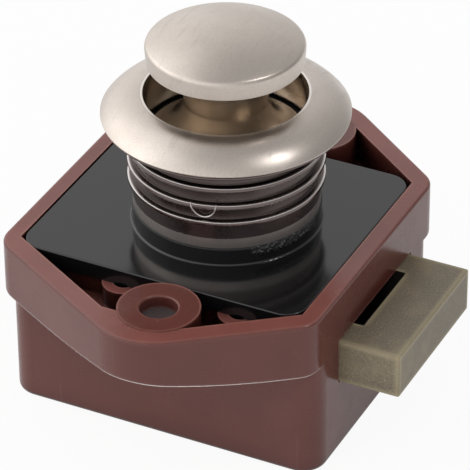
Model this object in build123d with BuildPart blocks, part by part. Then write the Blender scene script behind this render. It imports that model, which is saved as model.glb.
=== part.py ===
from build123d import *
from math import atan2, cos, degrees, hypot, radians, sin
import os

os.makedirs("parts", exist_ok=True)

# Push button cabinet lock, in millimetres.
# Z = 0 is the face of the door that the two screw bosses seat against.
# The knob's axis is the Z axis, and the bolt leaves the case along +X.
# The lock is drawn with its knob out and its bolt out.

# Travel of the mechanism
knob_travel = 7.2
bolt_travel = 8.0
latch_swing = 8.0

# Fits
running_gap = 0.1
slide_gap = 0.15
wide_gap = 0.3
seat_gap = 0.02
cut_overrun = 1.0

# Case: a six-sided rim with two ears, over a square box
case_right = 20.65
case_left = 23.0
corner_y = 17.85
ear_x = 1.9
ear_tip_y = 32.0
ear_tip_radius = 8.3
rim_corner_radius = 3.8
rim_drop = 0.15
rim_height = 7.9
ear_rise = 2.3
rim_wall = 2.65
rim_left_wall = 2.2
rim_right_wall = 2.4
rim_top_round = 0.4
rim_low_round = 0.8
ear_depth = 4.8
ear_pocket_y = 16.9
pocket_end_y = 25.3
box_inset = 0.45
box_half_width = 17.5
box_wall = 1.8
box_corner_radius = 3.2
box_bottom_round = 0.9
case_height = 23.45
floor_thickness = 1.8
cavity_corner_radius = 1.0

# Screw bosses in the ears, which take a screw from the back of the case
boss_y = 22.55
boss_radius = 5.16
screw_hole_radius = 2.35
screw_seat_thickness = 1.7
screw_head_radius = 4.0
hole_edge_round = 0.25

# Cored posts beside the cover plate
post_spread = 8.0
post_y = 16.4
post_radius = 2.8
post_core_radius = 1.4
post_core_depth = 2.0

# Cover plate with its collar and threaded tube
plate_drop = 0.11
plate_thickness = 2.15
plate_side_step = 0.18
plate_gap = 0.11
plate_corner_radius = 3.0
plate_edge_round = 0.2
collar_margin = 0.15
collar_height = 2.46
collar_foot_round = 0.3
collar_top_round = 0.15
tube_wall = 1.0
tube_height = 11.9

# Snap legs of the cover plate
leg_left_x = -14.0
leg_right_x = 15.3
leg_width = 3.2
leg_thickness = 1.2
leg_length = 6.2
barb_depth = 0.5
barb_height = 1.6

# Rosette: a domed ring on a ridged barrel
ring_radius = 15.62
ring_edge_round = 0.5
ring_widest_z = 15.1
ring_under_z = 14.2
lip_clearance = 0.2
lip_z = 17.8
lip_width = 0.45
lip_groove_width = 0.35
lip_groove_depth = 0.22
dome_shoulder_radius = 13.6
dome_shoulder_drop = 0.73
barrel_radius = 11.72
barrel_wall = 0.57
barrel_bore_clearance = 0.05
ridge_depth = 0.73
ridge_count = 3
ridge_pitch = 2.46
ridge_first_z = 5.75
ridge_height = 0.75
ridge_slope = 0.5
ridge_undercut = 0.12
band_step = 0.13
band_top_z = 3.65
bore_step_gap = 0.3

# Knob: a domed cap on a flared stem
cap_radius = 10.0
cap_low_radius = 9.8
cap_low_z = 22.25
cap_shoulder_z = 24.65
cap_top_z = 27.1
cap_shoulder_round = 0.8
cap_low_round = 0.25
cap_recess_depth = 0.5
cap_recess_margin = 1.2
stem_radius = 5.3
stem_foot_clearance = 0.3
stem_foot_z = 10.2
stem_foot_height = 1.65
stem_neck_z = 15.9
stem_flare_radius = 6.5
stem_flare_z = 13.9
spigot_radius = 4.0
spigot_height = 2.2

# Screw that holds the knob to the plunger
screw_radius = 1.5
screw_depth_in_stem = 7.0
screw_cap_radius = 2.8
screw_cap_height = 2.0
screw_cap_round = 0.5
recess_size = 2.6
recess_width = 0.7
recess_depth = 1.1
washer_radius = 2.7
washer_thickness = 0.7
washer_slit = 0.5

# Plunger: a spool in the tube, over a block that passes through the bolt
plunger_clearance = 0.2
disc_thickness = 1.8
spool_low_z = 1.2
hub_radius = 4.9
rib_thickness = 1.4
rib_count = 4
block_half_length = 7.5
block_half_width = 6.05
block_bottom_z = -14.1
block_edge_round = 0.6
block_bottom_round = 0.4
spring_bore_radius = 4.15
spring_bore_top_z = 1.0
screw_seat_bore_radius = 3.0
screw_seat_z = 4.2
groove_depth = 1.35
slot_overtravel = 0.4

# Heart track in the plunger, for the tip of the latch wire
track_depth = 1.4
track_tip_z = -7.6
track_side_clearance = 0.15
track_return_y = 2.6
track_return_low_share = 0.3
track_return_high_share = 0.72
track_notch_y_share = 0.35
track_notch_z_share = 0.8

# Bolt
bolt_tip_x = 28.75
bolt_half_width = 10.75
bolt_thickness = 6.1
bolt_top_z = -6.95
bolt_rear_x = -12.2
bolt_edge_round = 0.3
window_half_width = 6.35
window_front_x = 21.9
window_rear_x = -8.9
window_corner_radius = 0.5
drive_pin_x = 4.0
drive_pin_radius = 1.0
drive_pin_inner_y = 4.9
drive_pin_outer_y = 10.3
drive_pin_chamfer = 0.2

# Springs behind the bolt
bolt_spring_y = 8.6
bolt_spring_wire = 0.45
bolt_spring_mean_radius = 1.25
bolt_spring_turns = 13
bolt_spring_pocket_radius = 1.7
bolt_spring_pocket_depth = 9.8
bolt_spring_peg_radius = 0.8
bolt_spring_peg_length = 4.0

# Spring under the plunger
return_spring_wire = 0.8
return_spring_mean_radius = 3.5
return_spring_turns = 9
spring_post_radius = 2.6
spring_post_height = 4.5

# Rails that carry the bolt
rail_inner_y = 8.8
rail_lip = 1.6
rail_lip_rise = 0.6
hold_down_width = 1.6
hold_down_margin = 1.5
hold_down_clearance = 0.7

# Latch wire and the leaf spring that holds it in its track
wire_radius = 0.6
wire_leg_x = 9.2
wire_pivot_height = 2.2
wire_bend_radius = 1.0
wire_foot_length = 3.4
wire_tip_reach = 1.25
pedestal_front_x = 11.3
pedestal_half_width = 3.5
pedestal_height = 4.1
leaf_thickness = 0.3
leaf_half_width = 2.0
leaf_foot_x = 13.8
leaf_foot_depth = 3.0
leaf_rise = 0.9
leaf_touch_low_z = -10.6
leaf_touch_high_z = -9.2
leaf_curl = 0.7

# Levels and faces that follow from the sizes above
rim_top = -rim_drop
rim_bottom = rim_top - rim_height
plate_top = rim_top - plate_drop
plate_bottom = plate_top - plate_thickness
ear_floor = rim_top - ear_depth
case_bottom = rim_top - case_height
cavity_floor = case_bottom + floor_thickness
pocket_left = case_left - rim_left_wall
pocket_right = case_right - rim_right_wall
box_left = case_left - box_inset
cavity_left = pocket_left
cavity_right = pocket_right
cavity_half_width = box_half_width - box_wall
bolt_bottom_z = bolt_top_z - bolt_thickness
bolt_middle_z = (bolt_top_z + bolt_bottom_z) / 2
collar_top = plate_top + collar_height
tube_top = plate_top + tube_height
case_length = case_left + case_right
plate_half_width = box_half_width - plate_side_step
wire_pivot_z = cavity_floor + wire_pivot_height
pedestal_top_z = cavity_floor + pedestal_height

# Radii that follow from the barrel outwards and inwards
ridge_radius = barrel_radius + ridge_depth
band_radius = barrel_radius + band_step
collar_radius = band_radius + collar_margin
barrel_bore_radius = barrel_radius - barrel_wall
tube_radius = barrel_bore_radius - barrel_bore_clearance
tube_bore_radius = tube_radius - tube_wall
lip_radius = tube_bore_radius + lip_clearance
plunger_radius = tube_bore_radius - plunger_clearance
stem_foot_radius = tube_bore_radius - stem_foot_clearance
hold_down_clear_radius = tube_bore_radius + hold_down_clearance

# Outline of the rim, seen from the door
rim_points = [
    (-case_left, -corner_y),
    (ear_x, -ear_tip_y),
    (case_right, -corner_y),
    (case_right, corner_y),
    (ear_x, ear_tip_y),
    (-case_left, corner_y),
]

# Outline of the pocket inside the rim, which stops at the screw bosses
slope_left = (ear_tip_y - corner_y) / (case_left + ear_x)
slope_right = (ear_tip_y - corner_y) / (case_right - ear_x)
pocket_left_y = corner_y + rim_left_wall * slope_left - rim_wall * hypot(1, slope_left)
pocket_right_y = corner_y + rim_right_wall * slope_right - rim_wall * hypot(1, slope_right)
pocket_end_left_x = (pocket_end_y - pocket_left_y) / slope_left - pocket_left
pocket_end_right_x = pocket_right - (pocket_end_y - pocket_right_y) / slope_right
pocket_points = [
    (-pocket_left, -pocket_left_y),
    (pocket_end_left_x, -pocket_end_y),
    (pocket_end_right_x, -pocket_end_y),
    (pocket_right, -pocket_right_y),
    (pocket_right, pocket_right_y),
    (pocket_end_right_x, pocket_end_y),
    (pocket_end_left_x, pocket_end_y),
    (-pocket_left, pocket_left_y),
]
boss_places = [(ear_x, -boss_y), (ear_x, boss_y)]
post_places = [(ear_x + a * post_spread, b * post_y) for a in (-1, 1) for b in (-1, 1)]
leg_places = [(x, side) for x in (leg_left_x, leg_right_x) for side in (-1, 1)]


def pocket_face():
    with BuildLine() as pocket_outline:
        Polyline(*pocket_points, close=True)
    make_face(pocket_outline.edges())


# Case
with BuildPart() as case:
    # Rim with rounded ear tips
    with BuildSketch(Plane.XY.offset(rim_bottom)) as rim_sketch:
        with BuildLine():
            Polyline(*rim_points, close=True)
        make_face()
        ear_tips = rim_sketch.vertices().filter_by(lambda v: abs(v.X - ear_x) < seat_gap)
        fillet(ear_tips, ear_tip_radius)
        rim_corners = rim_sketch.vertices().filter_by(lambda v: abs(abs(v.Y) - corner_y) < seat_gap)
        fillet(rim_corners, rim_corner_radius)
    extrude(amount=rim_height)
    # The underside of each ear rises towards its tip
    for side in (-1, 1):
        with BuildSketch(Plane.YZ):
            with BuildLine():
                rise_start = (side * (corner_y + rim_corner_radius / 2), rim_bottom)
                rise_end = (side * ear_tip_y, rim_bottom + ear_rise)
                TangentArc(rise_start, rise_end, tangent=(side, 0))
                Polyline(
                    rise_end,
                    (side * ear_tip_y, rim_bottom - cut_overrun),
                    (rise_start[0], rim_bottom - cut_overrun),
                    rise_start,
                )
            make_face()
        extrude(amount=case_length, both=True, mode=Mode.SUBTRACT)
    rim_edges = case.faces().sort_by(Axis.Z)[-1].edges()
    fillet(rim_edges, rim_top_round)
    low_faces = case.faces().filter_by(lambda f: f.normal_at().Z < -cos(radians(45)))
    low_edges = low_faces.edges().filter_by(lambda e: abs(e.center().X) > rim_wall)
    fillet(low_edges, rim_low_round)
    # Box under the rim
    with BuildSketch(Plane.XY.offset(case_bottom)):
        with Locations(((case_right - box_left) / 2, 0)):
            RectangleRounded(case_right + box_left, 2 * box_half_width, box_corner_radius)
    extrude(amount=plate_bottom - case_bottom)
    fillet(case.faces().sort_by(Axis.Z)[0].edges(), box_bottom_round)
    # Pocket for the cover plate, deeper in the two ears
    with BuildSketch(Plane.XY.offset(plate_bottom)):
        pocket_face()
    extrude(amount=cut_overrun - plate_bottom, mode=Mode.SUBTRACT)
    with BuildSketch(Plane.XY.offset(ear_floor)):
        pocket_face()
        Rectangle(2 * case_length, 2 * ear_pocket_y, mode=Mode.SUBTRACT)
    extrude(amount=plate_bottom - ear_floor, mode=Mode.SUBTRACT)
    # Cavity of the box
    with BuildSketch(Plane.XY.offset(cavity_floor)):
        with Locations(((cavity_right - cavity_left) / 2, 0)):
            RectangleRounded(cavity_right + cavity_left, 2 * cavity_half_width, cavity_corner_radius)
    extrude(amount=plate_bottom - cavity_floor, mode=Mode.SUBTRACT)
    # Cored posts beside the plate
    with BuildSketch(Plane.XY.offset(ear_floor)):
        with Locations(*post_places):
            Circle(post_radius)
    extrude(amount=plate_bottom - ear_floor)
    with BuildSketch(Plane.XY.offset(plate_bottom - post_core_depth)):
        with Locations(*post_places):
            Circle(post_core_radius)
    extrude(amount=post_core_depth, mode=Mode.SUBTRACT)
    # Screw bosses, with a seat for the screw's head from the back
    with BuildSketch(Plane.XY.offset(ear_floor)):
        with Locations(*boss_places):
            Circle(boss_radius)
    extrude(amount=-ear_floor)
    with BuildSketch(Plane.XY.offset(-screw_seat_thickness)):
        with Locations(*boss_places):
            Circle(screw_head_radius)
    extrude(amount=rim_bottom, mode=Mode.SUBTRACT)
    with BuildSketch(Plane.XY.offset(cut_overrun)):
        with Locations(*boss_places):
            Circle(screw_hole_radius)
    extrude(amount=rim_bottom, mode=Mode.SUBTRACT)
    top_circles = case.edges().filter_by(GeomType.CIRCLE).group_by(Axis.Z)[-1]
    hole_rims = top_circles.filter_by(lambda e: e.radius < screw_head_radius)
    fillet(hole_rims, hole_edge_round)
    # Mouth for the bolt
    with BuildSketch(Plane.YZ.offset(cavity_right - cut_overrun)):
        with Locations((0, bolt_middle_z)):
            Rectangle(2 * (bolt_half_width + slide_gap), bolt_thickness + 2 * slide_gap)
    extrude(amount=rim_right_wall + 2 * cut_overrun, mode=Mode.SUBTRACT)
    # Rails under the bolt, with lips that guide its sides
    rail_outer_y = bolt_half_width + slide_gap + rail_lip
    rail_top = bolt_bottom_z - running_gap
    with BuildSketch(Plane.XY.offset(cavity_floor)):
        for side in (-1, 1):
            with Locations(((cavity_right - cavity_left) / 2, side * (rail_inner_y + rail_outer_y) / 2)):
                Rectangle(cavity_right + cavity_left, rail_outer_y - rail_inner_y)
    extrude(amount=rail_top - cavity_floor)
    with BuildSketch(Plane.XY.offset(rail_top)):
        for side in (-1, 1):
            with Locations(((cavity_right - cavity_left) / 2, side * (rail_outer_y - rail_lip / 2))):
                Rectangle(cavity_right + cavity_left, rail_lip)
    extrude(amount=bolt_top_z + rail_lip_rise - rail_top)
    # Post for the spring under the plunger
    with BuildSketch(Plane.XY.offset(cavity_floor)):
        Circle(spring_post_radius)
    extrude(amount=spring_post_height)
    # Pegs for the springs behind the bolt
    with BuildSketch(Plane.YZ.offset(-cavity_left)):
        with Locations((-bolt_spring_y, bolt_middle_z), (bolt_spring_y, bolt_middle_z)):
            Circle(bolt_spring_peg_radius)
    extrude(amount=bolt_spring_peg_length)
    # Pedestal with the pivot of the latch wire and the slot of its leaf spring
    with BuildSketch(Plane.XY.offset(cavity_floor)):
        with Locations(((pedestal_front_x + cavity_right) / 2, 0)):
            Rectangle(cavity_right - pedestal_front_x, 2 * pedestal_half_width)
    extrude(amount=pedestal_top_z - cavity_floor)
    pivot_depth = wire_leg_x + wire_foot_length + wide_gap - pedestal_front_x
    with BuildSketch(Plane.YZ.offset(pedestal_front_x)):
        with Locations((0, wire_pivot_z)):
            Circle(wire_radius + running_gap / 2)
    extrude(amount=pivot_depth, mode=Mode.SUBTRACT)
    with BuildSketch(Plane.XY.offset(pedestal_top_z - leaf_foot_depth)):
        with Locations((leaf_foot_x, 0)):
            Rectangle(leaf_thickness + 2 * seat_gap, 2 * (leaf_half_width + seat_gap))
    extrude(amount=leaf_foot_depth, mode=Mode.SUBTRACT)
    # Recesses that the snap legs catch in
    leg_bottom = plate_bottom - leg_length
    for leg_x, side in leg_places:
        with BuildSketch(Plane.XY.offset(leg_bottom - wide_gap)):
            with Locations((leg_x, side * (cavity_half_width + barb_depth / 2))):
                Rectangle(leg_width + 2 * wide_gap, barb_depth + 2 * wide_gap)
        extrude(amount=barb_height + wide_gap + running_gap, mode=Mode.SUBTRACT)
case.part.label = "case"
export_step(case.part, "parts/case.step")

# Cover plate, with the collar and the tube that the rosette screws on to
with BuildPart() as cover_plate:
    with BuildSketch(Plane.XY.offset(plate_bottom)):
        with Locations(((pocket_right - pocket_left) / 2, 0)):
            plate_length = pocket_right + pocket_left - 2 * plate_gap
            RectangleRounded(plate_length, 2 * plate_half_width, plate_corner_radius)
    extrude(amount=plate_thickness)
    fillet(cover_plate.faces().sort_by(Axis.Z)[-1].edges(), plate_edge_round)
    with BuildSketch(Plane.XY.offset(plate_top)):
        Circle(collar_radius)
    extrude(amount=collar_height)
    fillet(cover_plate.faces().sort_by(Axis.Z)[-1].edges(), collar_top_round)
    foot = cover_plate.edges().filter_by(GeomType.CIRCLE).filter_by(lambda e: abs(e.radius - collar_radius) < seat_gap)
    fillet(foot.sort_by(Axis.Z)[0], collar_foot_round)
    with BuildSketch(Plane.XY.offset(plate_bottom)):
        Circle(tube_radius)
    extrude(amount=tube_top - plate_bottom)
    # Ribs that keep the bolt down on its rails
    rib_bottom = bolt_top_z + running_gap
    with BuildSketch(Plane.XY.offset(rib_bottom)):
        for side in (-1, 1):
            with Locations(((pocket_right - pocket_left) / 2, side * (rail_inner_y + hold_down_width / 2))):
                Rectangle(plate_length - 2 * hold_down_margin, hold_down_width)
        Circle(hold_down_clear_radius, mode=Mode.SUBTRACT)
    extrude(amount=plate_bottom - rib_bottom)
    with BuildSketch(Plane.XY.offset(plate_bottom)):
        Circle(tube_bore_radius)
    extrude(amount=tube_top - plate_bottom, mode=Mode.SUBTRACT)
    # Snap legs with barbs, against the side walls of the case
    leg_outer_y = cavity_half_width - running_gap
    for leg_x, side in leg_places:
        with BuildSketch(Plane.YZ.offset(leg_x - leg_width / 2)):
            with BuildLine():
                Polyline(
                    (side * leg_outer_y, plate_bottom),
                    (side * leg_outer_y, leg_bottom + barb_height),
                    (side * (leg_outer_y + barb_depth), leg_bottom + barb_height),
                    (side * leg_outer_y, leg_bottom),
                    (side * (leg_outer_y - leg_thickness), leg_bottom),
                    (side * (leg_outer_y - leg_thickness), plate_bottom),
                    close=True,
                )
            make_face()
        extrude(amount=leg_width)
cover_plate.part.label = "cover_plate"
export_step(cover_plate.part, "parts/cover_plate.step")

# Rosette: domed ring, lip round its hole, and the ridged barrel
ridge_levels = [ridge_first_z + i * ridge_pitch for i in reversed(range(ridge_count))]
groove_radius = lip_radius + lip_width
dome_radius = groove_radius + lip_groove_width
with BuildPart() as rosette:
    with BuildSketch(Plane.XZ):
        with BuildLine():
            edge_x = ring_radius - ring_edge_round
            Polyline(
                (lip_radius, tube_top + bore_step_gap + barrel_bore_radius - lip_radius),
                (lip_radius, lip_z),
                (groove_radius, lip_z),
                (groove_radius, lip_z - lip_groove_depth),
                (dome_radius, lip_z - lip_groove_depth),
            )
            ThreePointArc(
                (dome_radius, lip_z - lip_groove_depth),
                (dome_shoulder_radius, lip_z - lip_groove_depth - dome_shoulder_drop),
                (ring_radius, ring_widest_z),
            )
            ThreePointArc(
                (ring_radius, ring_widest_z),
                (edge_x + ring_edge_round * cos(radians(45)), ring_widest_z - ring_edge_round * sin(radians(45))),
                (edge_x, ring_widest_z - ring_edge_round),
            )
            ridge_outline = [(edge_x, ring_widest_z - ring_edge_round), (edge_x, ring_under_z)]
            ridge_outline.append((barrel_radius, ring_under_z))
            for level in ridge_levels:
                ridge_outline.append((barrel_radius, level + ridge_height + ridge_slope))
                ridge_outline.append((ridge_radius, level + ridge_height))
                ridge_outline.append((ridge_radius, level))
                ridge_outline.append((barrel_radius, level - ridge_undercut))
            ridge_outline.append((barrel_radius, band_top_z))
            ridge_outline.append((band_radius, band_top_z))
            ridge_outline.append((band_radius, collar_top))
            ridge_outline.append((barrel_bore_radius, collar_top))
            ridge_outline.append((barrel_bore_radius, tube_top + bore_step_gap))
            ridge_outline.append((lip_radius, tube_top + bore_step_gap + barrel_bore_radius - lip_radius))
            Polyline(*ridge_outline)
        make_face()
    revolve(axis=Axis.Z)
rosette.part.label = "rosette"
export_step(rosette.part, "parts/rosette.step")

# Domed cap of the knob
spigot_top = cap_low_z + spigot_height
with BuildPart() as knob_cap:
    with BuildSketch(Plane.XZ) as cap_sketch:
        with BuildLine():
            Polyline(
                (0, cap_top_z),
                (0, spigot_top),
                (spigot_radius, spigot_top),
                (spigot_radius, cap_low_z + cap_recess_depth),
                (cap_low_radius - cap_recess_margin, cap_low_z + cap_recess_depth),
                (cap_low_radius - cap_recess_margin, cap_low_z),
                (cap_low_radius, cap_low_z),
                (cap_radius, cap_shoulder_z),
            )
            dome_height = cap_top_z - cap_shoulder_z
            dome_sphere = (cap_radius**2 + dome_height**2) / (2 * dome_height)
            half_angle = atan2(cap_radius, dome_sphere - dome_height) / 2
            ThreePointArc(
                (cap_radius, cap_shoulder_z),
                (dome_sphere * sin(half_angle), cap_top_z - dome_sphere * (1 - cos(half_angle))),
                (0, cap_top_z),
            )
        make_face()
        outer_corners = cap_sketch.vertices().group_by(Axis.X)
        fillet(outer_corners[-1], cap_shoulder_round)
        low_corner = cap_sketch.vertices().filter_by(lambda v: abs(v.Y - cap_low_z) < seat_gap).sort_by(Axis.X)[-1]
        fillet(low_corner, cap_low_round)
    revolve(axis=Axis.Z)
knob_cap.part.label = "knob_cap"
export_step(knob_cap.part, "parts/knob_cap.step")

# Flared stem of the knob, with a spigot in the cap and a blind hole for the screw
with BuildPart() as knob_stem:
    with BuildSketch(Plane.XZ):
        with BuildLine():
            Polyline(
                (stem_foot_radius, stem_foot_z + stem_foot_height),
                (stem_foot_radius, stem_foot_z),
                (screw_radius, stem_foot_z),
                (screw_radius, stem_foot_z + screw_depth_in_stem),
                (0, stem_foot_z + screw_depth_in_stem),
                (0, spigot_top),
                (spigot_radius, spigot_top),
                (spigot_radius, cap_low_z + cap_recess_depth),
                (stem_radius, cap_low_z + cap_recess_depth),
                (stem_radius, stem_neck_z),
            )
            ThreePointArc(
                (stem_radius, stem_neck_z),
                (stem_flare_radius, stem_flare_z),
                (stem_foot_radius, stem_foot_z + stem_foot_height),
            )
        make_face()
    revolve(axis=Axis.Z)
knob_stem.part.label = "knob_stem"
export_step(knob_stem.part, "parts/knob_stem.step")

# Split spring washer under the head of the knob's screw
washer_bottom_z = screw_seat_z - washer_thickness
with BuildPart() as knob_lock_washer:
    with BuildSketch(Plane.XY.offset(washer_bottom_z)):
        Circle(washer_radius)
        Circle(screw_radius + slide_gap, mode=Mode.SUBTRACT)
        with Locations((washer_radius / 2, 0)):
            Rectangle(washer_radius, washer_slit, mode=Mode.SUBTRACT)
    extrude(amount=washer_thickness)
knob_lock_washer.part.label = "knob_lock_washer"
export_step(knob_lock_washer.part, "parts/knob_lock_washer.step")

# Pan head screw, driven from below
head_bottom_z = washer_bottom_z - screw_cap_height
with BuildPart() as knob_screw:
    with BuildSketch(Plane.XY.offset(head_bottom_z)):
        Circle(screw_cap_radius)
    extrude(amount=screw_cap_height)
    fillet(knob_screw.faces().sort_by(Axis.Z)[0].edges(), screw_cap_round)
    with BuildSketch(Plane.XY.offset(washer_bottom_z)):
        Circle(screw_radius)
    extrude(amount=stem_foot_z + screw_depth_in_stem - washer_bottom_z)
    with BuildSketch(Plane.XY.offset(head_bottom_z)):
        Rectangle(recess_size, recess_width)
        Rectangle(recess_width, recess_size)
    extrude(amount=recess_depth, mode=Mode.SUBTRACT)
knob_screw.part.label = "knob_screw"
export_step(knob_screw.part, "parts/knob_screw.step")

# Path of the drive pins and of the wire's tip, as the plunger sees them
slot_start = (drive_pin_x, bolt_middle_z)
slot_end = (drive_pin_x - bolt_travel, bolt_middle_z + knob_travel)
wire_length = track_tip_z - wire_pivot_z
press_lane_y = -wire_length * sin(radians(latch_swing))
press_lane_top = track_tip_z + knob_travel - wire_length * (1 - cos(radians(latch_swing)))
lane_width = 2 * (wire_radius + track_side_clearance)


def lane(start, end, width, overrun):
    run = Vector(end[0] - start[0], end[1] - start[1])
    angle = degrees(atan2(run.Y, run.X))
    with Locations(((start[0] + end[0]) / 2, (start[1] + end[1]) / 2)):
        SlotCenterToCenter(run.length + 2 * overrun, width, rotation=angle)


# Plunger
with BuildPart() as plunger:
    # Block that passes through the bolt's window
    with BuildSketch(Plane.XY.offset(block_bottom_z)):
        RectangleRounded(2 * block_half_length, 2 * block_half_width, block_edge_round)
    extrude(amount=spool_low_z - block_bottom_z)
    fillet(plunger.faces().sort_by(Axis.Z)[0].edges(), block_bottom_round)
    # Spool that slides in the tube
    with BuildSketch(Plane.XY.offset(spool_low_z), Plane.XY.offset(stem_foot_z - disc_thickness)):
        Circle(plunger_radius)
    extrude(amount=disc_thickness)
    with BuildSketch(Plane.XY.offset(spool_low_z)):
        Circle(hub_radius)
        with PolarLocations(0, rib_count):
            with Locations((plunger_radius / 2, 0)):
                Rectangle(plunger_radius - wide_gap, rib_thickness)
    extrude(amount=stem_foot_z - spool_low_z)
    # Bore for the spring, and the stepped hole of the screw
    with BuildSketch(Plane.XY.offset(block_bottom_z)):
        Circle(spring_bore_radius)
    extrude(amount=spring_bore_top_z - block_bottom_z, mode=Mode.SUBTRACT)
    with BuildSketch(Plane.XY.offset(spring_bore_top_z)):
        Circle(screw_seat_bore_radius)
    extrude(amount=screw_seat_z - spring_bore_top_z, mode=Mode.SUBTRACT)
    with BuildSketch(Plane.XY.offset(screw_seat_z)):
        Circle(screw_radius + slide_gap)
    extrude(amount=stem_foot_z - screw_seat_z, mode=Mode.SUBTRACT)
    # Slanted grooves that draw the bolt in
    for side in (-1, 1):
        groove_plane = Plane(
            origin=(0, side * block_half_width, 0), x_dir=(1, 0, 0), z_dir=(0, -1, 0)
        )
        with BuildSketch(groove_plane):
            lane(slot_start, slot_end, 2 * (drive_pin_radius + running_gap / 2), slot_overtravel)
        extrude(amount=side * groove_depth, mode=Mode.SUBTRACT)
    # Heart track: the press lane, and the lane that the tip comes back by
    track_plane = Plane(origin=(block_half_length, 0, 0), x_dir=(0, 1, 0), z_dir=(1, 0, 0))
    return_low = (track_return_y, track_tip_z + knob_travel * track_return_low_share)
    return_high = (track_return_y, track_tip_z + knob_travel * track_return_high_share)
    notch = (track_return_y * track_notch_y_share, track_tip_z + knob_travel * track_notch_z_share)
    with BuildSketch(track_plane):
        lane((0, track_tip_z), (press_lane_y, press_lane_top), lane_width, slot_overtravel)
        lane((0, track_tip_z), return_low, lane_width, 0)
        lane(return_low, return_high, lane_width, 0)
        lane(return_high, notch, lane_width, 0)
        lane(notch, (press_lane_y, press_lane_top), lane_width, 0)
    extrude(amount=-track_depth, mode=Mode.SUBTRACT)
plunger.part.label = "plunger"
export_step(plunger.part, "parts/plunger.step")

# Bolt: a bar with a window that the plunger passes through
with BuildPart() as bolt:
    with BuildSketch(Plane.XY.offset(bolt_bottom_z)):
        with Locations(((bolt_tip_x + bolt_rear_x) / 2, 0)):
            Rectangle(bolt_tip_x - bolt_rear_x, 2 * bolt_half_width)
    extrude(amount=bolt_thickness)
    fillet(bolt.edges(), bolt_edge_round)
    with BuildSketch(Plane.XY.offset(bolt_bottom_z)):
        with Locations(((window_front_x + window_rear_x) / 2, 0)):
            window_length = window_front_x - window_rear_x
            RectangleRounded(window_length, 2 * window_half_width, window_corner_radius)
    extrude(amount=bolt_thickness, mode=Mode.SUBTRACT)
    for side in (-1, 1):
        with BuildSketch(Plane.XZ.offset(-side * drive_pin_outer_y)):
            with Locations((drive_pin_x, bolt_middle_z)):
                Circle(drive_pin_radius + seat_gap)
        extrude(amount=side * (drive_pin_outer_y - block_half_width), mode=Mode.SUBTRACT)
    with BuildSketch(Plane.YZ.offset(bolt_rear_x)):
        with Locations((-bolt_spring_y, bolt_middle_z), (bolt_spring_y, bolt_middle_z)):
            Circle(bolt_spring_pocket_radius)
    extrude(amount=bolt_spring_pocket_depth, mode=Mode.SUBTRACT)
bolt.part.label = "bolt"
export_step(bolt.part, "parts/bolt.step")

# Drive pins, pressed into the bolt's side rails
for side, pin_name in ((-1, "drive_pin_front"), (1, "drive_pin_back")):
    with BuildPart() as drive_pin:
        with BuildSketch(Plane.XZ.offset(-side * drive_pin_inner_y)):
            with Locations((drive_pin_x, bolt_middle_z)):
                Circle(drive_pin_radius)
        extrude(amount=-side * (drive_pin_outer_y - drive_pin_inner_y))
        chamfer(drive_pin.edges(), drive_pin_chamfer)
    drive_pin.part.label = pin_name
    export_step(drive_pin.part, "parts/" + pin_name + ".step")

# Springs behind the bolt, from the wall of the case to the end of their pockets
bolt_spring_front_x = bolt_rear_x + bolt_spring_pocket_depth
bolt_spring_length = bolt_spring_front_x + cavity_left - bolt_spring_wire - 2 * seat_gap
bolt_spring_start = -cavity_left + bolt_spring_wire / 2 + seat_gap
for side, spring_name in ((-1, "bolt_spring_front"), (1, "bolt_spring_back")):
    with BuildPart() as bolt_spring:
        with BuildLine() as coil:
            Helix(
                pitch=bolt_spring_length / bolt_spring_turns,
                height=bolt_spring_length,
                radius=bolt_spring_mean_radius,
                center=(bolt_spring_start, side * bolt_spring_y, bolt_middle_z),
                direction=(1, 0, 0),
            )
        with BuildSketch(Plane(origin=coil.line @ 0, z_dir=coil.line % 0)):
            Circle(bolt_spring_wire / 2)
        sweep(path=coil.line, is_frenet=True)
    bolt_spring.part.label = spring_name
    export_step(bolt_spring.part, "parts/" + spring_name + ".step")

# Spring under the plunger
return_spring_low = cavity_floor + return_spring_wire / 2 + seat_gap
return_spring_length = spring_bore_top_z - return_spring_wire / 2 - seat_gap - return_spring_low
with BuildPart() as return_spring:
    with BuildLine() as return_coil:
        Helix(
            pitch=return_spring_length / return_spring_turns,
            height=return_spring_length,
            radius=return_spring_mean_radius,
            center=(0, 0, return_spring_low),
        )
    with BuildSketch(Plane(origin=return_coil.line @ 0, z_dir=return_coil.line % 0)):
        Circle(return_spring_wire / 2)
    sweep(path=return_coil.line, is_frenet=True)
return_spring.part.label = "return_spring"
export_step(return_spring.part, "parts/return_spring.step")

# Latch wire: its foot turns in the pedestal, and its tip runs in the heart track
with BuildPart() as latch_wire:
    with BuildLine() as wire_path:
        FilletPolyline(
            (wire_leg_x + wire_foot_length, 0, wire_pivot_z),
            (wire_leg_x, 0, wire_pivot_z),
            (wire_leg_x, 0, track_tip_z),
            (block_half_length - wire_tip_reach, 0, track_tip_z),
            radius=wire_bend_radius,
        )
    with BuildSketch(Plane(origin=wire_path.line @ 0, z_dir=wire_path.line % 0)):
        Circle(wire_radius)
    sweep(path=wire_path.line)
latch_wire.part.label = "latch_wire"
export_step(latch_wire.part, "parts/latch_wire.step")

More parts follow.
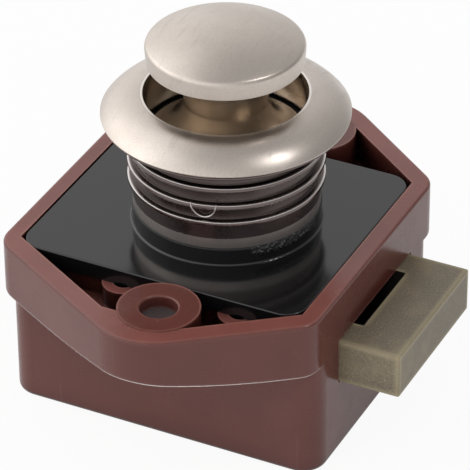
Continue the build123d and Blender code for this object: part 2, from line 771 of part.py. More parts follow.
# Leaf spring that presses the wire's tip into its track
leaf_touch_x = wire_leg_x + wire_radius + running_gap + leaf_thickness / 2
with BuildPart() as follower_spring:
    with BuildSketch(Plane.XZ):
        with BuildLine() as leaf_line:
            Polyline(
                (leaf_foot_x, pedestal_top_z - leaf_foot_depth + leaf_thickness / 2 + seat_gap),
                (leaf_foot_x, pedestal_top_z + leaf_rise),
                (leaf_touch_x, leaf_touch_low_z),
                (leaf_touch_x, leaf_touch_high_z),
                (leaf_touch_x + leaf_curl, leaf_touch_high_z + leaf_curl),
            )
            offset(amount=leaf_thickness / 2, side=Side.BOTH)
        make_face()
    extrude(amount=leaf_half_width, both=True)
follower_spring.part.label = "follower_spring"
export_step(follower_spring.part, "parts/follower_spring.step")
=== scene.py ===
import bmesh
import bpy
import math
from mathutils import Matrix, Vector


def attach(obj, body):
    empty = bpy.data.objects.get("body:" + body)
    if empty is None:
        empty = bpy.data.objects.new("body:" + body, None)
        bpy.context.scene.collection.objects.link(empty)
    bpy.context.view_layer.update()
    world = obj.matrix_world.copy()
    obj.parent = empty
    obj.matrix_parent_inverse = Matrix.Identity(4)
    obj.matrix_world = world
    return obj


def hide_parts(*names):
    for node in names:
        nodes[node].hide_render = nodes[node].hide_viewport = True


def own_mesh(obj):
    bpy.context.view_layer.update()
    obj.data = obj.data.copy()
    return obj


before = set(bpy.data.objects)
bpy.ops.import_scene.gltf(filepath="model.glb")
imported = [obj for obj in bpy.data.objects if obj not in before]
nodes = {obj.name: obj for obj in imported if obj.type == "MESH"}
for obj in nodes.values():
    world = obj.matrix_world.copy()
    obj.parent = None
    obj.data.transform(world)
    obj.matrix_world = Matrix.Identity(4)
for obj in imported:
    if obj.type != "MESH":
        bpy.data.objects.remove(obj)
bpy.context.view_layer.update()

# Push button cabinet lock: looks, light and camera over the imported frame.
# Sizes are in millimetres, and mm turns them into metres.
# A noise is (scale, detail, roughness) and, where it is drawn out, its scale along X, Y and Z.
# A bump is (depth in mm, strength). A range is the two values that become 0 and 1,
# and one of four values falls back to 0 between the last two. Two roughnesses are the least and the greatest.
mm = 0.001
scene = bpy.context.scene


def metres(sizes):
    return tuple(size * mm for size in sizes)


def darker(tone, share):
    return tuple(value * share for value in tone)


# One node tree, with the few kinds of node that are used again and again
class Tree:
    def __init__(self, nodeTree):
        self.nodeTree = nodeTree

    def add(self, kind, **settings):
        node = self.nodeTree.nodes.new(kind)
        for key, value in settings.items():
            setattr(node, key, value)
        return node

    def link(self, source, target):
        if isinstance(source, (int, float, tuple)):
            target.default_value = source
        else:
            self.nodeTree.links.new(source, target)

    def calc(self, operation, first, second=0.0):
        node = self.add("ShaderNodeMath", operation=operation)
        self.link(first, node.inputs[0])
        self.link(second, node.inputs[1])
        return node.outputs[0]

    def times(self, first, second):
        return self.calc("MULTIPLY", first, second)

    def plus(self, first, second):
        return self.calc("ADD", first, second)

    def dot(self, first, second):
        node = self.add("ShaderNodeVectorMath", operation="DOT_PRODUCT")
        self.link(first, node.inputs[0])
        self.link(second, node.inputs[1])
        return node.outputs["Value"]

    # X, Y and Z of a vector
    def parts(self, vector):
        node = self.add("ShaderNodeSeparateXYZ")
        self.link(vector, node.inputs[0])
        return node.outputs

    # turns a range of a value into first..second
    def span(self, value, limits, first=0.0, second=1.0):
        node = self.add("ShaderNodeMapRange", clamp=True)
        self.link(value, node.inputs["Value"])
        for key, number in zip(("From Min", "From Max", "To Min", "To Max"), (*limits, first, second)):
            node.inputs[key].default_value = number
        return node.outputs["Result"]

    # 1 between the two inner limits, and 0 outside the outer ones
    def between(self, value, limits):
        return self.times(self.span(value, limits[:2]), self.span(value, limits[2:], 1.0, 0.0))


# One material: its Principled shader, and what feeds it, in the object's own coordinates
class Finish(Tree):
    def __init__(self, name, metallic=0.0, specular=0.5):
        self.material = bpy.data.materials.new(name)
        self.material.use_nodes = True
        super().__init__(self.material.node_tree)
        self.shader = self.nodeTree.nodes["Principled BSDF"]
        self.shader.inputs["Metallic"].default_value = metallic
        self.shader.inputs["Specular IOR Level"].default_value = specular
        self.place = self.add("ShaderNodeTexCoord").outputs["Object"]
        self.x, self.y, self.z = self.parts(self.place)

    def noise(self, scale, detail, rough, stretch=None):
        node = self.add("ShaderNodeTexNoise")
        node.inputs["Scale"].default_value = scale
        node.inputs["Detail"].default_value = detail
        node.inputs["Roughness"].default_value = rough
        place = self.place
        if stretch:
            mapping = self.add("ShaderNodeMapping")
            mapping.inputs["Scale"].default_value = stretch
            self.link(self.place, mapping.inputs["Vector"])
            place = mapping.outputs["Vector"]
        self.link(place, node.inputs["Vector"])
        return node.outputs["Fac"]

    def mix(self, share, first, second):
        node = self.add("ShaderNodeMix", data_type="RGBA")
        self.link(share, node.inputs["Factor"])
        for key, tone in (("A", first), ("B", second)):
            self.link(tone + (1,) if isinstance(tone, tuple) else tone, node.inputs[key])
        return node.outputs["Result"]

    # length of the way (x, y) across the XY plane
    def distance(self, x, y):
        return self.calc("SQRT", self.plus(self.times(x, x), self.times(y, y)))

    # how far the surface faces up, from -1 to 1
    def upward(self):
        return self.parts(self.add("ShaderNodeNewGeometry").outputs["Normal"])["Z"]

    # 1 on sharp edges, where a bevel of this radius would turn the surface away
    def edges(self, radius, limits):
        bevel = self.add("ShaderNodeBevel", samples=6)
        bevel.inputs["Radius"].default_value = radius * mm
        normal = self.add("ShaderNodeNewGeometry").outputs["Normal"]
        return self.span(self.dot(bevel.outputs[0], normal), limits, 1.0, 0.0)

    # 0 deep in a hollow, 1 in the open
    def openness(self, reach, limits):
        node = self.add("ShaderNodeAmbientOcclusion", samples=6)
        node.inputs["Distance"].default_value = reach * mm
        return self.span(node.outputs["AO"], limits)

    # links colour and roughness, lays the bumps (height, bump) over each other, and hands out the material
    def done(self, colour, rough, *bumps):
        self.link(colour, self.shader.inputs["Base Color"])
        self.link(rough, self.shader.inputs["Roughness"])
        normal = None
        for height, (depth, strength) in bumps:
            node = self.add("ShaderNodeBump")
            node.inputs["Distance"].default_value = depth * mm
            node.inputs["Strength"].default_value = strength
            self.link(height, node.inputs["Height"])
            if normal:
                self.link(normal, node.inputs["Normal"])
            normal = node.outputs["Normal"]
        if normal:
            self.link(normal, self.shader.inputs["Normal"])
        return self.material


# Looks for the pieces that keep their mesh from the frame
def dress(piece, material):
    obj = nodes[piece]
    if not obj.material_slots:
        obj.data.materials.append(material)
    for place in obj.material_slots:
        place.material = material


# Mesh helpers
def meshFrom(name, build):
    mesh = bpy.data.meshes.new(name)
    bm = bmesh.new()
    build(bm)
    bmesh.ops.recalc_face_normals(bm, faces=bm.faces)
    bm.to_mesh(mesh)
    bm.free()
    return mesh


# new piece that moves with a body, smooth where its faces meet at less than the angle
def newPiece(name, mesh, body, materials, angle):
    obj = bpy.data.objects.new(name, mesh)
    scene.collection.objects.link(obj)
    for material in materials:
        mesh.materials.append(material)
    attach(obj, body)
    mesh.polygons.foreach_set("use_smooth", [True] * len(mesh.polygons))
    mesh.set_sharp_from_angle(angle=math.radians(angle))
    return obj


def turnsOf(count):
    return [2 * math.pi * k / count for k in range(count)]


# outline with rounded corners, from points (r, z, radius): a round takes up to this share of a side
def rounded(points, steps=6, share=0.49):
    line = []
    for i, (r, z, radius) in enumerate(points):
        here = Vector((r, z))
        if radius == 0 or i in (0, len(points) - 1):
            line.append(tuple(here))
            continue
        before = Vector(points[i - 1][:2]) - here
        after = Vector(points[i + 1][:2]) - here
        half = before.angle(after) / 2
        reach = min(radius / math.tan(half), before.length * share, after.length * share)
        inward = (before.normalized() + after.normalized()).normalized()
        centre = here + inward * reach / math.cos(half)
        start = here + before.normalized() * reach - centre
        end = here + after.normalized() * reach - centre
        turn = start.angle_signed(end) if start.length and end.length else 0
        line += [tuple(centre + Matrix.Rotation(-turn * k / steps, 2) @ start) for k in range(steps + 1)]
    return line


# points along the arc through three points
def arc(first, middle, last, steps):
    (ax, ay), (bx, by), (cx, cy) = first, middle, last
    a, b, c = ax**2 + ay**2, bx**2 + by**2, cx**2 + cy**2
    area = 2 * (ax * (by - cy) + bx * (cy - ay) + cx * (ay - by))
    centreX = (a * (by - cy) + b * (cy - ay) + c * (ay - by)) / area
    centreY = (a * (cx - bx) + b * (ax - cx) + c * (bx - ax)) / area
    radius = math.hypot(ax - centreX, ay - centreY)
    start = math.atan2(ay - centreY, ax - centreX)
    sweep = math.atan2(cy - centreY, cx - centreX) - start
    sweep = (sweep + math.pi) % (2 * math.pi) - math.pi
    turns = [start + sweep * k / steps for k in range(steps + 1)]
    return [(centreX + radius * math.cos(turn), centreY + radius * math.sin(turn)) for turn in turns]


# turns an outline of (r, z) round the Z axis, and pick gives each stretch its material
def lathe(name, outline, body, materials, pick=None, closed=False, segments=240):
    onAxis = 1e-6  # radius in mm that counts as none

    def build(bm):
        rings = []
        for r, z in outline:
            turns = turnsOf(segments)
            if r < onAxis:
                r, turns = 0, [0]
            rings.append([bm.verts.new((r * mm * math.cos(t), r * mm * math.sin(t), z * mm)) for t in turns])
        pairs = [(i, i + 1) for i in range(len(rings) - 1)]
        if closed:
            pairs.append((len(rings) - 1, 0))
        for i, j in pairs:
            low, high = rings[i], rings[j]
            middle = [(a + b) / 2 for a, b in zip(outline[i], outline[j])]
            index = pick(*middle) if pick else 0
            for k in range(segments):
                n = (k + 1) % segments
                corners = [low[k % len(low)], low[n % len(low)], high[n % len(high)], high[k % len(high)]]
                unique = [v for m, v in enumerate(corners) if v not in corners[:m]]
                if len(unique) > 2:
                    bm.faces.new(unique).material_index = index

    return newPiece(name, meshFrom(name, build), body, materials, angle=35)


# round wire along a list of points, closed at both ends
def wire(name, path, radius, body, material, sides):
    up = Vector((0, 0, 1))
    upright = 1e-3  # length of the cross product below which the wire runs straight up

    def build(bm):
        rings = []
        for i, point in enumerate(path):
            ahead = (path[min(i + 1, len(path) - 1)] - path[max(i - 1, 0)]).normalized()
            side = ahead.cross(up)
            side = side.normalized() if side.length > upright else Vector((1, 0, 0))
            top = side.cross(ahead)
            ring = [side * math.cos(t) + top * math.sin(t) for t in turnsOf(sides)]
            rings.append([bm.verts.new(point + way * radius * mm) for way in ring])
        for low, high in zip(rings, rings[1:]):
            for k in range(sides):
                n = (k + 1) % sides
                bm.faces.new((low[k], low[n], high[n], high[k]))
        for ring in (rings[0], rings[-1]):
            bm.faces.new(ring)

    return newPiece(name, meshFrom(name, build), body, [material], angle=60)


print("stage: case")

# Case: glossy red-brown moulded plastic
caseLook = {
    "base": (0.112, 0.031, 0.024),
    "warm": (0.132, 0.038, 0.03), "warmNoise": (90, 3, 0.55), "warmRange": (0.35, 0.7),
    "warmBump": (0.3, 0.06),
    "scuff": (0.2, 0.11, 0.1), "scuffNoise": (900, 5, 0.6, (1.0, 0.3, 0.05)), "scuffRange": (0.66, 0.72),
    "scuffShare": 0.22,
    # upper faces painted paler, a painted reflection of the bright room above, but hardly the screw bosses,
    # whose darker tops are painted reflection of the dark rosette
    "top": (0.235, 0.078, 0.064), "topFacing": (0.8, 0.97),
    "topNoise": (130, 4, 0.55), "topRange": (0.2, 0.7), "topLeast": 0.6,
    "bossX": 1.9, "bossY": 22.55, "bossRange": (5.25, 5.35), "bossLeast": 0.12,
    # pale edges: painted highlights along the sharp edges
    "edge": (0.36, 0.155, 0.125), "edgeRadius": 0.55, "edgeRange": (0.90, 0.995), "edgeShare": 0.8,
    "edgeNoise": (260, 3, 0.55), "edgeNoiseRange": (0.25, 0.6), "edgeLeast": 0.35,
    # painted reflection of the floor: a bright line where the rim's lower edge turns under
    "line": (1.0, 0.88, 0.83), "lineFacing": (-0.93, -0.85, -0.6, -0.45), "lineHeight": (-8.6, -8.4),
    # painted shade: near black deep in the hollows
    "hollow": (0.014, 0.004, 0.003), "hollowReach": 7.0, "hollowRange": (0.12, 0.62),
    "specular": 0.48, "rough": (0.17, 0.32), "roughNoise": (240, 4, 0.55), "roughRange": (0.3, 0.75),
    "streakNoise": (420, 4, 0.6, (1.0, 1.0, 0.06)), "streakBump": (0.05, 0.10),
    "grainNoise": (2600, 2, 0.55), "grainBump": (0.01, 0.12),
}


def makeCasePlastic(look):
    tree = Finish("casePlastic", specular=look["specular"])
    cloud = tree.noise(*look["warmNoise"])
    plastic = tree.mix(tree.span(cloud, look["warmRange"]), look["base"], look["warm"])
    scuffs = tree.span(tree.noise(*look["scuffNoise"]), look["scuffRange"])
    plastic = tree.mix(tree.times(scuffs, look["scuffShare"]), plastic, look["scuff"])
    facing = tree.upward()
    # upper faces painted paler in patches, a painted reflection of the room above, left off the screw bosses
    paintedSheen = tree.span(tree.noise(*look["topNoise"]), look["topRange"], look["topLeast"], 1.0)
    paintedSheen = tree.times(tree.span(facing, look["topFacing"]), paintedSheen)
    fromBossX = tree.calc("SUBTRACT", tree.x, look["bossX"] * mm)
    fromBossY = tree.calc("SUBTRACT", tree.calc("ABSOLUTE", tree.y), look["bossY"] * mm)
    fromBoss = tree.distance(fromBossX, fromBossY)
    offBoss = tree.span(fromBoss, metres(look["bossRange"]), look["bossLeast"], 1.0)
    plastic = tree.mix(tree.times(paintedSheen, offBoss), plastic, look["top"])
    patchy = tree.span(tree.noise(*look["edgeNoise"]), look["edgeNoiseRange"], look["edgeLeast"], 1.0)
    # painted highlights on the sharp edges, in patches
    paleEdges = tree.times(tree.edges(look["edgeRadius"], look["edgeRange"]), patchy)
    plastic = tree.mix(tree.times(paleEdges, look["edgeShare"]), plastic, look["edge"])
    # painted reflection of the floor along the rim's lower edge
    turnedUnder = tree.between(facing, look["lineFacing"])
    onRim = tree.span(tree.z, metres(look["lineHeight"]))
    plastic = tree.mix(tree.times(turnedUnder, onRim), plastic, look["line"])
    # painted shade in the hollows, by ambient occlusion
    plastic = tree.mix(tree.openness(look["hollowReach"], look["hollowRange"]), look["hollow"], plastic)
    rough = tree.span(tree.noise(*look["roughNoise"]), look["roughRange"], *look["rough"])
    streaks = tree.noise(*look["streakNoise"]), look["streakBump"]
    grain = tree.noise(*look["grainNoise"]), look["grainBump"]
    return tree.done(plastic, rough, streaks, grain, (cloud, look["warmBump"]))


dress("case", makeCasePlastic(caseLook))

print("stage: cover plate")

# Cover plate: polished black plastic, with dust and, at the foot of the barrel, rough flash on the collar
coverLook = {
    "base": (0.0065, 0.0065, 0.007),
    "dust": (0.05, 0.048, 0.046), "dustNoise": (1500, 2, 0.55), "dustRange": (0.70, 0.76), "dustShare": 0.5,
    # crumbs of flash: where they lie by angle (radians), height and radius
    "crumb": (0.16, 0.16, 0.17), "crumbNoise": (2600, 3, 0.55), "crumbRange": (0.54, 0.6), "crumbShare": 0.7,
    "crumbTurn": (-0.87, -0.77, -0.05, 0.06), "crumbHeight": (0.7, 1.3, 2.2, 2.35),
    "crumbReach": (11.6, 11.8), "crumbBump": (0.6, 1.0),
    # dull top edge of the collar
    "collarReach": (13.2, 12.8), "collarHeight": (1.9, 2.1), "collarRough": 0.5,
    "specular": 0.6, "rough": (0.05, 0.2),
    "roughNoise": (60, 4, 0.6, (1.0, 0.35, 1.0)), "roughRange": (0.3, 0.75),
    "waveNoise": (30, 2, 0.55), "waveBump": (0.25, 0.10),
}


def makeCoverPlastic(look):
    tree = Finish("coverPlastic", specular=look["specular"])
    specks = tree.span(tree.noise(*look["dustNoise"]), look["dustRange"])
    plastic = tree.mix(tree.times(specks, look["dustShare"]), look["base"], look["dust"])
    reach = tree.distance(tree.x, tree.y)
    flash = tree.between(tree.calc("ARCTAN2", tree.y, tree.x), look["crumbTurn"])
    flash = tree.times(flash, tree.between(tree.z, metres(look["crumbHeight"])))
    flash = tree.times(flash, tree.span(reach, metres(look["crumbReach"])))
    lumps = tree.noise(*look["crumbNoise"])
    crumbs = tree.times(flash, tree.span(lumps, look["crumbRange"]))
    plastic = tree.mix(tree.times(crumbs, look["crumbShare"]), plastic, look["crumb"])
    polish = tree.span(tree.noise(*look["roughNoise"]), look["roughRange"], *look["rough"])
    collarTop = tree.span(tree.z, metres(look["collarHeight"]))
    collarTop = tree.times(tree.span(reach, metres(look["collarReach"])), collarTop)
    rough = tree.plus(polish, tree.times(collarTop, look["collarRough"]))
    waves = tree.noise(*look["waveNoise"]), look["waveBump"]
    return tree.done(plastic, rough, waves, (tree.times(lumps, flash), look["crumbBump"]))


dress("cover_plate", makeCoverPlastic(coverLook))

print("stage: bolt")

# Bolt: khaki glass-filled plastic with a fine speckle, paler in clouds and towards its edges
boltLook = {
    "base": (0.205, 0.168, 0.115), "dark": (0.135, 0.108, 0.07), "darkRange": (0.36, 0.6),
    "glint": (0.44, 0.4, 0.33), "glintRange": (0.62, 0.7), "glintShare": 0.7,
    "pale": (0.42, 0.355, 0.215), "paleNoise": (160, 4, 0.55), "paleRange": (0.5, 0.72), "paleShare": 0.3,
    "paleBump": (0.15, 0.15),
    "edgeRadius": 1.3, "edgeRange": (0.93, 0.9985), "edgeShare": 0.85,
    # painted shade inside the window that the drive pins cross
    "window": (0.012, 0.01, 0.008), "windowWidth": (6.5, 6.4), "windowFront": (22.05, 21.95),
    "rough": (0.36, 0.52), "roughRange": (0.3, 0.7),
    "grainNoise": (3600, 3, 0.75), "grainBump": (0.03, 0.35),
}


def makeBoltPlastic(look):
    tree = Finish("boltPlastic")
    grain = tree.noise(*look["grainNoise"])
    cloud = tree.noise(*look["paleNoise"])
    plastic = tree.mix(tree.span(grain, look["darkRange"]), look["dark"], look["base"])
    glints = tree.span(grain, look["glintRange"])
    plastic = tree.mix(tree.times(glints, look["glintShare"]), plastic, look["glint"])
    clouds = tree.span(cloud, look["paleRange"])
    plastic = tree.mix(tree.times(clouds, look["paleShare"]), plastic, look["pale"])
    paleEdges = tree.edges(look["edgeRadius"], look["edgeRange"])
    plastic = tree.mix(tree.times(paleEdges, look["edgeShare"]), plastic, look["pale"])
    # painted shade inside the window
    window = tree.span(tree.calc("ABSOLUTE", tree.y), metres(look["windowWidth"]))
    window = tree.times(window, tree.span(tree.x, metres(look["windowFront"])))
    plastic = tree.mix(window, plastic, look["window"])
    rough = tree.span(grain, look["roughRange"], *look["rough"])
    return tree.done(plastic, rough, (grain, look["grainBump"]), (cloud, look["paleBump"]))


dress("bolt", makeBoltPlastic(boltLook))

print("stage: inner parts")

# Plunger: plain black plastic
plungerLook = {
    "base": (0.012, 0.012, 0.013), "pale": (0.022, 0.022, 0.023), "specular": 0.4, "rough": (0.4, 0.55),
    "grainNoise": (1500, 3, 0.55), "grainRange": (0.3, 0.7), "grainBump": (0.02, 0.25),
}


def makePlungerPlastic(look):
    tree = Finish("plungerPlastic", specular=look["specular"])
    grain = tree.noise(*look["grainNoise"])
    shade = tree.span(grain, look["grainRange"])
    rough = tree.span(grain, look["grainRange"], *look["rough"])
    return tree.done(tree.mix(shade, look["base"], look["pale"]), rough, (grain, look["grainBump"]))


# Plain steels of the springs and the fasteners
steelLook = {
    "spring": {"base": (0.50, 0.50, 0.51), "rough": (0.22, 0.34), "grainNoise": (1600, 4, 0.6)},
    "zinc": {"base": (0.58, 0.57, 0.53), "rough": (0.3, 0.42), "grainNoise": (900, 4, 0.6)},
    "darkShare": 0.8, "darkRange": (0.35, 0.7), "roughRange": (0.3, 0.7), "grainBump": (0.02, 0.2),
}


def makeSteel(kind):
    look, steel = steelLook, steelLook[kind]
    tree = Finish(kind + "Steel", metallic=1.0)
    grain = tree.noise(*steel["grainNoise"])
    dark = darker(steel["base"], look["darkShare"])
    metal = tree.mix(tree.span(grain, look["darkRange"]), steel["base"], dark)
    rough = tree.span(grain, look["roughRange"], *steel["rough"])
    return tree.done(metal, rough, (grain, look["grainBump"]))


springSteel = makeSteel("spring")
zincSteel = makeSteel("zinc")
dress("plunger", makePlungerPlastic(plungerLook))
for piece in ("drive_pin_front", "drive_pin_back", "knob_screw"):
    dress(piece, zincSteel)
for piece in ("knob_lock_washer", "latch_wire", "follower_spring"):
    dress(piece, springSteel)

print("stage: nickel")

# Nickel plate: fine lines turned round the axis, under a soft grain and hairline scratches.
# Each finish has its two tones, its roughness, and the strength of the turned lines and of the grain.
nickelLook = {
    "satin": {
        "base": (0.66, 0.592, 0.538), "tint": (0.595, 0.53, 0.476),
        "rough": (0.29, 0.37), "turned": 0.1, "grain": 0.4,
    },
    "cap": {
        "base": (0.655, 0.588, 0.53), "tint": (0.59, 0.525, 0.47),
        "rough": (0.3, 0.38), "turned": 0.06, "grain": 0.45,
    },
    # barrel: the pale tone is painted highlight on the ridge edges, the dark tint painted reflection of the
    # dark surroundings on the ridge faces
    "barrel": {
        "base": (0.95, 0.91, 0.88), "tint": (0.16, 0.13, 0.123),
        "rough": (0.09, 0.17), "turned": 0.25, "grain": 0.15,
    },
    "band": {
        "base": (0.66, 0.6, 0.56), "tint": (0.52, 0.465, 0.437),
        "rough": (0.34, 0.42), "turned": 0.2, "grain": 0.5,
    },
    "stem": {
        "base": (0.575, 0.503, 0.425), "tint": (0.525, 0.455, 0.382),
        "rough": (0.16, 0.24), "turned": 0.1, "grain": 0.2,
    },
    # gate mark: its near-white tone is a painted highlight along the burr
    "mark": {
        "base": (0.95, 0.92, 0.9), "tint": (0.85, 0.82, 0.8),
        "rough": (0.36, 0.44), "turned": 0.1, "grain": 0.6,
    },
    # what all finishes share
    "turnedScale": 9000.0, "turnedDetail": 3.0, "turnedDepth": 0.01,
    "grainNoise": (5200, 2, 0.5), "grainRange": (0.35, 0.7), "grainShare": 0.4, "grainDepth": 0.01,
    "patchNoise": (150, 5, 0.65), "tintRange": (0.3, 0.72), "roughRange": (0.3, 0.7),
    "hairNoise": (1100, 4, 0.6, (1.0, 0.09, 0.5)), "hairRange": (0.57, 0.68), "hairShare": 0.24,
    "hairDepth": 0.008, "hairRough": 0.06, "dullShare": 0.8,
}


# What every nickel finish starts from
class Nickel(Finish):
    def __init__(self, kind):
        super().__init__(kind + "Nickel", metallic=1.0)
        look, finish = nickelLook, nickelLook[kind]
        self.base = finish["base"]
        self.tint = finish["tint"]
        self.radial = self.distance(self.x, self.y)
        lines = self.add("ShaderNodeTexNoise", noise_dimensions="1D")
        self.link(self.times(self.plus(self.radial, self.z), look["turnedScale"]), lines.inputs["W"])
        lines.inputs["Scale"].default_value = 1.0
        lines.inputs["Detail"].default_value = look["turnedDetail"]
        self.grain = self.noise(*look["grainNoise"])
        self.patches = self.noise(*look["patchNoise"])
        self.hair = self.span(self.noise(*look["hairNoise"]), look["hairRange"])
        polish = self.span(self.patches, look["roughRange"], *finish["rough"])
        self.rough = self.plus(polish, self.times(self.hair, look["hairRough"]))
        self.bumps = (
            (lines.outputs["Fac"], (look["turnedDepth"], finish["turned"])),
            (self.grain, (look["grainDepth"], finish["grain"])),
            (self.hair, (look["hairDepth"], finish["grain"])),
        )


# the last argument, where given, is the tone of a painted highlight on the lip and the radii between which it
# ends
def makeNickel(kind, lipHighlight=None):
    look = nickelLook
    tree = Nickel(kind)
    plate = tree.mix(tree.span(tree.patches, look["tintRange"]), tree.base, tree.tint)
    dull = tree.span(tree.grain, look["grainRange"], 0, look["grainShare"])
    dull = tree.plus(dull, tree.times(tree.hair, look["hairShare"]))
    plate = tree.mix(dull, plate, darker(tree.tint, look["dullShare"]))
    # painted highlight round the lip
    if lipHighlight:
        tone, limits = lipHighlight
        plate = tree.mix(tree.span(tree.radial, metres(limits)), tone, plate)
    return tree.done(plate, tree.rough, *tree.bumps)


stemNickel = makeNickel("stem")

print("stage: rosette")

# Rosette: domed ring with a flat land inside it, and a barrel with three ridges
rosetteLook = {
    # ring: domeStart, shoulder and edge are points (radius, height) of its dome
    "lip": 10.3, "lipTop": 17.74, "lipRound": 0.07, "land": (10.6, 10.8), "landTop": 17.72, "landRound": 0.2,
    "domeStart": (10.9, 17.7), "shoulder": (13.6, 16.85), "edge": (15.62, 15.1), "edgeRound": 0.5,
    "under": 14.2, "underRound": 0.15,
    # barrel, with the band at its foot and the bore inside
    "barrel": 11.72, "barrelRound": 0.3, "foot": 11.84,
    "band": 11.85, "bandTop": 3.65, "bottom": 2.2, "bottomRound": 0.06, "bore": 11.15, "boreTop": 11.98,
    # ridges: heights of their lower edges, their shape over that edge, and the rounds from above
    "levels": (10.67, 8.21, 5.75), "ridge": 12.45, "ridgeTop": 12.41, "ridgeLow": 12.39,
    "ridgeHigh": 0.6, "ridgeFace": 0.12, "slope": 0.14, "undercut": 0.1,
    "ridgeRounds": (0.08, 0.06, 0.14, 0.1, 0.05),
    # painted highlight on the lip, and the barrel's valleys painted dark, a painted reflection of the dark
    # surroundings
    "lipTone": (0.84, 0.79, 0.74), "lipRange": (10.54, 10.64),
    "valleyTone": (0.1, 0.082, 0.078), "valleyRough": 0.14,
    "footTone": (0.21, 0.1722, 0.1638), "footRange": (5.4, 5.6),
    # painted highlights: bright lines along both edges of each ridge, as shares of the step from one ridge to
    # the next
    "ridgeRange": (11.9, 12.3), "stepStart": -0.08, "lowerLine": (0.045, 0.075),
    "upperLine": (0.245, 0.26, 0.285, 0.3), "upperShare": 0.8, "lineRough": 0.22,
}


def makeBarrelNickel(look):
    tree = Nickel("barrel")
    highest, middle, lowest = look["levels"]
    climb = tree.calc("SUBTRACT", tree.z, (lowest + look["stepStart"]) * mm)
    step = tree.calc("FRACT", tree.calc("DIVIDE", climb, (highest - middle) * mm))
    lower = tree.span(step, look["lowerLine"], 1.0, 0.0)
    upper = tree.between(step, look["upperLine"])
    # painted highlights on the ridge edges, over faces painted dark as reflection of the surroundings
    face = tree.mix(lower, tree.tint, tree.base)
    face = tree.mix(tree.times(upper, look["upperShare"]), face, tree.base)
    # valleys painted dark, a painted reflection of the dark surroundings, a little paler below the lowest
    # ridge
    valley = tree.mix(tree.span(tree.z, metres(look["footRange"])), look["footTone"], look["valleyTone"])
    onRidge = tree.span(tree.radial, metres(look["ridgeRange"]))
    paleEdges = tree.times(tree.calc("MAXIMUM", lower, upper), onRidge)
    rough = tree.plus(tree.rough, tree.span(onRidge, (0, 1), look["valleyRough"], 0))
    rough = tree.plus(rough, tree.times(paleEdges, look["lineRough"]))
    return tree.done(tree.mix(onRidge, valley, face), rough, *tree.bumps)


# foot of the round at the ring's outer edge
def edgeFoot(look):
    r, z = look["edge"]
    return r - look["edgeRound"], z - look["edgeRound"]


def ringOutline(look):
    landStart, landEnd = look["land"]
    lip = rounded([
        (look["lip"], look["boreTop"], 0),
        (look["lip"], look["lipTop"], look["lipRound"]),
        (landStart, look["landTop"], look["landRound"]),
        (landEnd, look["landTop"], look["landRound"]),
        (*look["domeStart"], 0),
    ])
    dome = arc(look["domeStart"], look["shoulder"], look["edge"], steps=40)
    r, z = look["edge"]
    inward = look["edgeRound"] * (1 - math.sqrt(0.5))
    down = look["edgeRound"] * math.sqrt(0.5)
    edge = arc((r, z), (r - inward, z - down), edgeFoot(look), steps=12)
    return lip + dome[1:] + edge[1:]


def barrelOutline(look):
    r, z = edgeFoot(look)
    points = [
        (r, z, 0),
        (r, look["under"], look["underRound"]),
        (look["barrel"], look["under"], look["barrelRound"]),
    ]
    for level in look["levels"]:
        lowest = level == min(look["levels"])
        corners = [
            (look["barrel"], level + look["ridgeHigh"] + look["slope"]),
            (look["ridgeTop"], level + look["ridgeHigh"]),
            (look["ridge"], level + look["ridgeFace"]),
            (look["ridgeLow"], level),
            (look["foot"] if lowest else look["barrel"], level - look["undercut"]),
        ]
        points += [(*corner, radius) for corner, radius in zip(corners, look["ridgeRounds"])]
    points += [
        (look["band"], look["bandTop"], 0),
        (look["band"], look["bottom"], look["bottomRound"]),
        (look["bore"], look["bottom"], 0),
        (look["bore"], look["boreTop"], 0),
    ]
    return rounded(points)


# material of a stretch: 0 ring, 1 barrel, 2 band, 3 inside of the lip
def rosettePart(r, z, nearLip=0.02, nearLevel=0.1):
    if r <= rosetteLook["lip"] + nearLip:
        return 3
    if z > edgeFoot(rosetteLook)[1] - nearLevel:
        return 0
    return 2 if z < rosetteLook["bandTop"] + nearLevel else 1


rosette = lathe(
    "rosetteSurface",
    ringOutline(rosetteLook) + barrelOutline(rosetteLook)[1:],
    "lock_body",
    [
        makeNickel("satin", (rosetteLook["lipTone"], rosetteLook["lipRange"])),
        makeBarrelNickel(rosetteLook),
        makeNickel("band"),
        stemNickel,
    ],
    rosettePart,
    closed=True,
)
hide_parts("rosette")

# Half-moon burr that the mould's gate left across the middle ridge.
# Its ends lie on the ridge, and its middle sinks into the groove below.
gateSize = {
    "angle": -77.0, "halfWide": 1.6, "deep": 2.15, "top": 9.0, "thick": 0.1,
    "onRidge": 12.47, "inGroove": 12.0, "sinkStart": 0.7, "sinkLength": 1.45,
}


def gatePath(size, steps=32):
    path = []
    for k in range(steps + 1):
        turn = math.pi * k / steps
        across = size["halfWide"] * math.cos(turn)
        drop = size["deep"] * math.sin(turn)
        sunk = min(max((drop - size["sinkStart"]) / size["sinkLength"], 0), 1)
        r = size["onRidge"] + (size["inGroove"] - size["onRidge"]) * sunk
        angle = math.radians(size["angle"]) + across / r
        path.append(Vector((r * math.cos(angle), r * math.sin(angle), size["top"] - drop)) * mm)
    return path


gateMark = wire("gateMark", gatePath(gateSize), gateSize["thick"], "lock_body", makeNickel("mark"), sides=10)

print("stage: knob")

# Cap: shallow dome, rounded shoulder, short skirt and a recessed underside
capSize = {
    "top": 27.1, "domeMiddle": (5.05, 26.502), "domeEdge": (9.15, 25.075),
    "radius": 9.978, "shoulderZ": 24.62, "round": 0.8, "low": 9.81, "lowZ": 22.25, "lowRound": 0.1,
    "rim": 8.6, "recess": 0.5, "spigot": 4.0, "spigotTop": 24.45,
}


